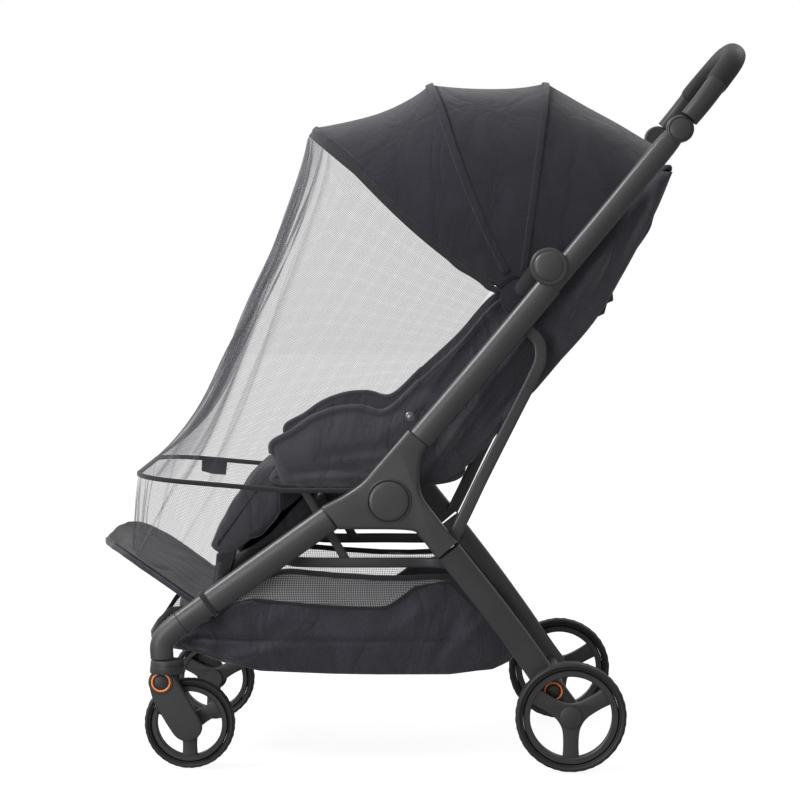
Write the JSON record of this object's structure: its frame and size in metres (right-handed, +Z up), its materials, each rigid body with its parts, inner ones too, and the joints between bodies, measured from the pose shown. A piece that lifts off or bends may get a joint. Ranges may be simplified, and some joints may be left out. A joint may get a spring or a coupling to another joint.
{
  "type": "stroller mosquito net on a stroller",
  "caption": "sheer mosquito net stretched from a stroller's canopy to its seat sides and down over the footrest, shown on a plain compact stroller",
  "frame": {"origin": "on the floor, below the middle of the whole object's box", "axes": "+Z up, the stroller faces -X, its near side in the picture is at -Y"},
  "size_m": [0.9533, 0.467, 1.0624],
  "materials": {
    "graphite_paint": "satin graphite paint",
    "dark_plastic": "matte dark plastic",
    "grip_foam": "matte foam grip",
    "tyre_rubber": "matte black tyre",
    "charcoal_cloth": "woven charcoal melange cloth",
    "net_mesh": "fine sheer dark mesh",
    "binding_tape": "dark woven tape",
    "orange_trim": "orange plastic ring",
    "stud_metal": "dark press stud"
  },
  "bodies": {
    "root": {"back_strut_far": "graphite_paint", "back_strut_near": "graphite_paint", "basket": "charcoal_cloth", "brake_ring_far": "orange_trim", "brake_ring_near": "orange_trim", "canopy_bow_front": "dark_plastic", "canopy_bow_middle": "dark_plastic", "canopy_bow_rear": "dark_plastic", "canopy_cloth": "charcoal_cloth", "canopy_hub_far": "dark_plastic", "canopy_hub_near": "dark_plastic", "caster_far": "dark_plastic", "caster_near": "dark_plastic", "footrest": "charcoal_cloth", "fork_far": "dark_plastic", "fork_near": "dark_plastic", "fork_ring_far": "orange_trim", "fork_ring_near": "orange_trim", "front_leg_far": "graphite_paint", "front_leg_near": "graphite_paint", "front_wheel_far_rim": "dark_plastic", "front_wheel_far_tyre": "tyre_rubber", "front_wheel_near_rim": "dark_plastic", "front_wheel_near_tyre": "tyre_rubber", "handle": "grip_foam", "handle_joint_far": "dark_plastic", "handle_joint_near": "dark_plastic", "leg_rest": "charcoal_cloth", "leg_strap_far": "binding_tape", "leg_strap_near": "binding_tape", "lower_bar_far": "dark_plastic", "lower_bar_near": "dark_plastic", "lower_tube_far": "graphite_paint", "lower_tube_near": "graphite_paint", "net_hoop_band": "binding_tape", "net_hoop_tab": "binding_tape", "net_skirt": "net_mesh", "net_stud_far": "stud_metal", "net_stud_near": "stud_metal", "net_top_binding": "binding_tape", "net_upper": "net_mesh", "pivot_disc_far": "dark_plastic", "pivot_disc_near": "dark_plastic", "pivot_housing_far": "graphite_paint", "pivot_housing_near": "graphite_paint", "rear_axle": "dark_plastic", "rear_leg_far": "graphite_paint", "rear_leg_near": "graphite_paint", "rear_wheel_far_rim": "dark_plastic", "rear_wheel_far_tyre": "tyre_rubber", "rear_wheel_near_rim": "dark_plastic", "rear_wheel_near_tyre": "tyre_rubber", "seat_back": "charcoal_cloth", "seat_bar": "dark_plastic", "seat_base": "charcoal_cloth", "seat_side_far": "charcoal_cloth", "seat_side_near": "charcoal_cloth", "upper_tube_far": "graphite_paint", "upper_tube_near": "graphite_paint"}
  },
  "joints": []
}
